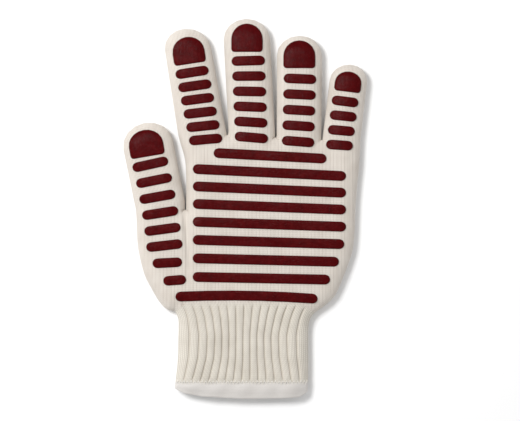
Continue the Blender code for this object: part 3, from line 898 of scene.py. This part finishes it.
def make_overlock(material):
    """The two rows of stitches, front and back, that sew the hem to the ribs."""
    seam = wrist_row(1.0, cuff_columns())
    depth = np.maximum(outline.depth(seam), 0)
    inside = depth > STITCH_EDGE_GAP
    dip = HEM_SEAM_DIP * faded(depth, SIDE_FADE)
    front = np.column_stack([seam, front_height(seam, depth) - dip])[inside]
    back = np.column_stack([seam, back_height(seam, depth) + STITCH_BACK_LIFT])[inside]
    group = stitch_group()
    make_stitches("hem_overlock_front", front, STITCH_HUMP, group, material)
    make_stitches("hem_overlock_back", back, 0.0, group, material)


def coarser(grid):
    """The liner's share of a grid, which keeps the first and last rows and columns."""
    rows, columns = ([*range(0, count - 1, stride), count - 1]
                     for count, stride in zip(grid.shape[:2], LINER_STRIDE))
    return grid[np.ix_(rows, columns)]


def make_liner(material):
    """The cotton liner: a second glove inside the first, open at the hem, parted where the knit is parted."""
    inner = Outline(side_edges(soft_nodes), CAD_ROUND - LINER_INSET)

    def front(points, depth, fabric):
        return front_height(points, outline.depth(points)) - LINER_FRONT_GAP

    def back(points, depth, fabric):
        return np.minimum(back_height(points, outline.depth(points)) + LINER_BACK_GAP,
                          front(points, depth, fabric) - LINER_HOLLOW)

    palm_parts = palm_grids(outline)
    mouth_x, mouth_y = np.array(HEM_MOUTH).T
    for part in range(2):
        grid = palm_parts[part][0]
        x, top = grid[0, :, 0], grid[0, :, 1]
        share = np.linspace(0, 1, LINER_WRIST_ROWS + 1)[:-1, None]
        mouth = np.interp(x, mouth_x, mouth_y) + LINER_MOUTH_INSET
        rows = mouth + share * (top - mouth)
        grid = np.vstack([np.dstack([np.broadcast_to(x, rows.shape), rows]), grid])
        palm_parts[part] = (grid, grid)
    parts = [("hand", [(coarser(grid), coarser(fabric)) for grid, fabric in palm_parts], None)]
    for finger in sections.values():
        for section in finger:
            grid, fabric = section["grid"]
            parts.append((section["name"], [(coarser(grid), coarser(fabric))], section))
    for name, grids, section in parts:
        obj = pillow(f"{name}_liner", grids, inner, front, back, LINER_EDGE, 2, material)
        shell(obj, LINER_WALL)
        if section is None:
            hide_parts("cotton_liner")
            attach(obj, "hand")
        else:
            bend(obj, section)


# ---------------------------------------------------------------- stage

def make_stage(material):
    """A plain pale floor, a soft lamp up to the left, a small one that gleams on the grips, even light all
    round, and the camera straight above."""
    bpy.ops.mesh.primitive_plane_add(size=6.0, location=(0, 0, 0))
    floor = bpy.context.object
    floor.name = "floor"
    floor.data.materials.append(material)
    lamps = (("key", (-0.60, 0.42, 1.13), 0.45, 13.5), ("gleam", (0.30, 0.36, 1.30), 0.10, 0.5))
    for name, place, size, power in lamps:
        data = bpy.data.lights.new(name, "AREA")
        data.size = size
        data.energy = power
        lamp = bpy.data.objects.new(name, data)
        bpy.context.scene.collection.objects.link(lamp)
        lamp.location = place
        lamp.rotation_euler = (-Vector(place)).to_track_quat("-Z", "Y").to_euler()
    world = bpy.data.worlds.new("studio")
    world.use_nodes = True
    world.node_tree.nodes["Background"].inputs["Color"].default_value = (1, 1, 1, 1)
    world.node_tree.nodes["Background"].inputs["Strength"].default_value = 0.56
    bpy.context.scene.world = world
    bpy.context.scene.view_settings.view_transform = "Standard"
    camera_data = bpy.data.cameras.new("camera")
    camera_data.sensor_width = 36
    camera_data.lens = 36 * 1.6 / VIEW_WIDTH
    camera = bpy.data.objects.new("camera", camera_data)
    camera.location = CAMERA_PLACE
    bpy.context.scene.collection.objects.link(camera)
    bpy.context.scene.camera = camera


def floor_material():
    """Matt white studio card."""
    material, tree, shader = new_material("studio_card")
    grain = add(tree, "ShaderNodeTexNoise", {"Scale": 400.0})
    value = maths(tree, "MULTIPLY_ADD", grain.outputs["Fac"], 0.01, 0.955)
    colour = add(tree, "ShaderNodeCombineColor", {0: value, 1: value, 2: value})
    tree.links.new(colour.outputs[0], shader.inputs["Base Color"])
    shader.inputs["Roughness"].default_value = 0.9
    return material


# ---------------------------------------------------------------- the glove

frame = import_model()

soft_nodes = ["palm", "cuff", "hem"] + [joint["child"] for joint in frame["joints"]]
outline = Outline(side_edges(soft_nodes), CAD_ROUND)

# The second colour of each knit is painted shade for the dips between its stitches; the first is the yarn's own
# colour.
knit = knit_material("cream_aramid_knit", "#E3DCD3", "#A69789")
rib_knit = knit_material("cream_rib_knit", "#E0DACF", "#A89F90", wale=RIB_FABRIC / 3)
hem_yarn = knit_material("white_overcast_yarn", "#E3DFDB", "#BFB8B1", wale=0.0011, course=0.0011)
cotton = knit_material("brushed_cotton_jersey", "#F4F2EE", "#D3CEC6", wale=0.0012, course=0.0011, depth=0.00012)
thread = thread_material()
silicone = silicone_material()

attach(make_skin("palm", palm_grids(outline), knit), "hand")

sections = {name: finger_sections(name) for name in FINGERS}
for parts in sections.values():
    for section in parts:
        bend(make_skin(section["name"], [section["grid"]], knit), section)

for node in sorted(frame["nodes"]):
    if "_bar_" in node or node.endswith("_cap"):
        make_grip(node, sections.get(node.split("_")[0], []), outline, silicone)

make_cuff(outline, rib_knit)
make_hem(outline, hem_yarn)
make_overlock(thread)
make_liner(cotton)

make_stage(floor_material())
